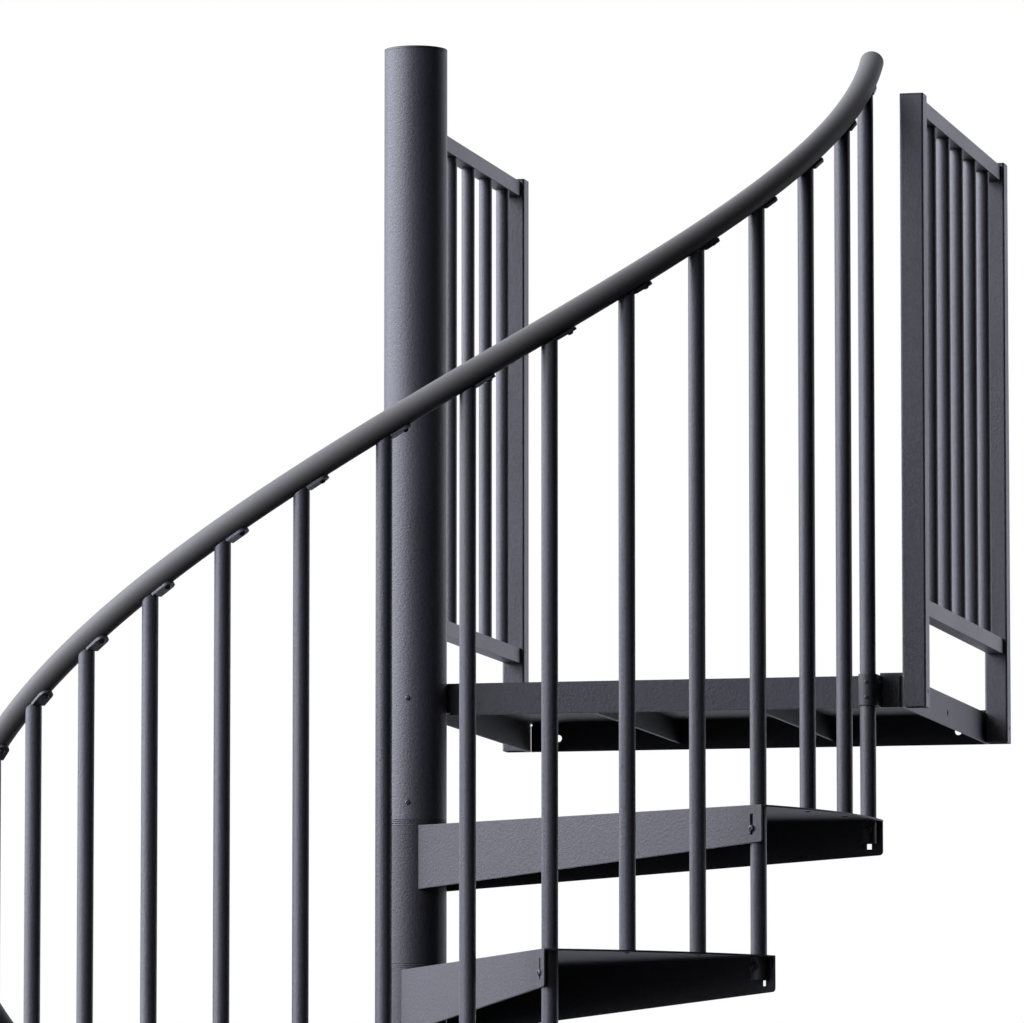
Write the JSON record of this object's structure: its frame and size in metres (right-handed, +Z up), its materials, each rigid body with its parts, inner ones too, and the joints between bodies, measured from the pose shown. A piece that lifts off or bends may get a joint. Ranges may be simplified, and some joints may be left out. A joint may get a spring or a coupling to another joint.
{
  "type": "spiral staircase",
  "caption": "Steel spiral staircase with a central column, wedge treads, round balusters, a helical handrail and a square landing between two guard panels.",
  "frame": {"origin": "centre of the pole on the underside of the base plate", "axes": "+Z up along the pole; +X along the front edge of the landing, away from the pole; +Y towards the wall that the landing is bolted to"},
  "size_m": [1.5921, 1.582, 4.2554],
  "materials": {
    "powder_coated_steel": "fine textured graphite powder coat",
    "guard_steel": "fine textured graphite powder coat",
    "handrail_black": "smooth satin black",
    "black_caps": "satin black"
  },
  "bodies": {
    "root": {"base_plate": "powder_coated_steel", "center_pole": "powder_coated_steel", "spacer_rings": "powder_coated_steel", "upper_sleeve": "powder_coated_steel", "tread_01": "powder_coated_steel", "tread_02": "powder_coated_steel", "tread_03": "powder_coated_steel", "tread_04": "powder_coated_steel", "tread_05": "powder_coated_steel", "tread_06": "powder_coated_steel", "tread_07": "powder_coated_steel", "tread_08": "powder_coated_steel", "tread_09": "powder_coated_steel", "tread_10": "powder_coated_steel", "tread_11": "powder_coated_steel", "tread_12": "powder_coated_steel", "tread_13": "powder_coated_steel", "landing_deck": "powder_coated_steel", "landing_joists": "powder_coated_steel", "landing_bracket": "powder_coated_steel", "baluster_clamp": "powder_coated_steel", "floor_foot": "powder_coated_steel", "balusters_01_02": "powder_coated_steel", "balusters_03_04": "powder_coated_steel", "balusters_05_06": "powder_coated_steel", "balusters_07_08": "powder_coated_steel", "balusters_09_10": "powder_coated_steel", "balusters_11_12": "powder_coated_steel", "balusters_13_14": "powder_coated_steel", "guard_posts_left": "guard_steel", "guard_posts_right": "guard_steel", "guard_panel_left": "guard_steel", "guard_panel_right": "guard_steel", "handrail_1": "handrail_black", "handrail_2": "handrail_black", "handrail_3": "handrail_black", "handrail_4": "handrail_black", "handrail_5": "handrail_black", "pole_cap": "black_caps", "post_caps": "black_caps", "handrail_end_caps": "black_caps"}
  },
  "joints": []
}
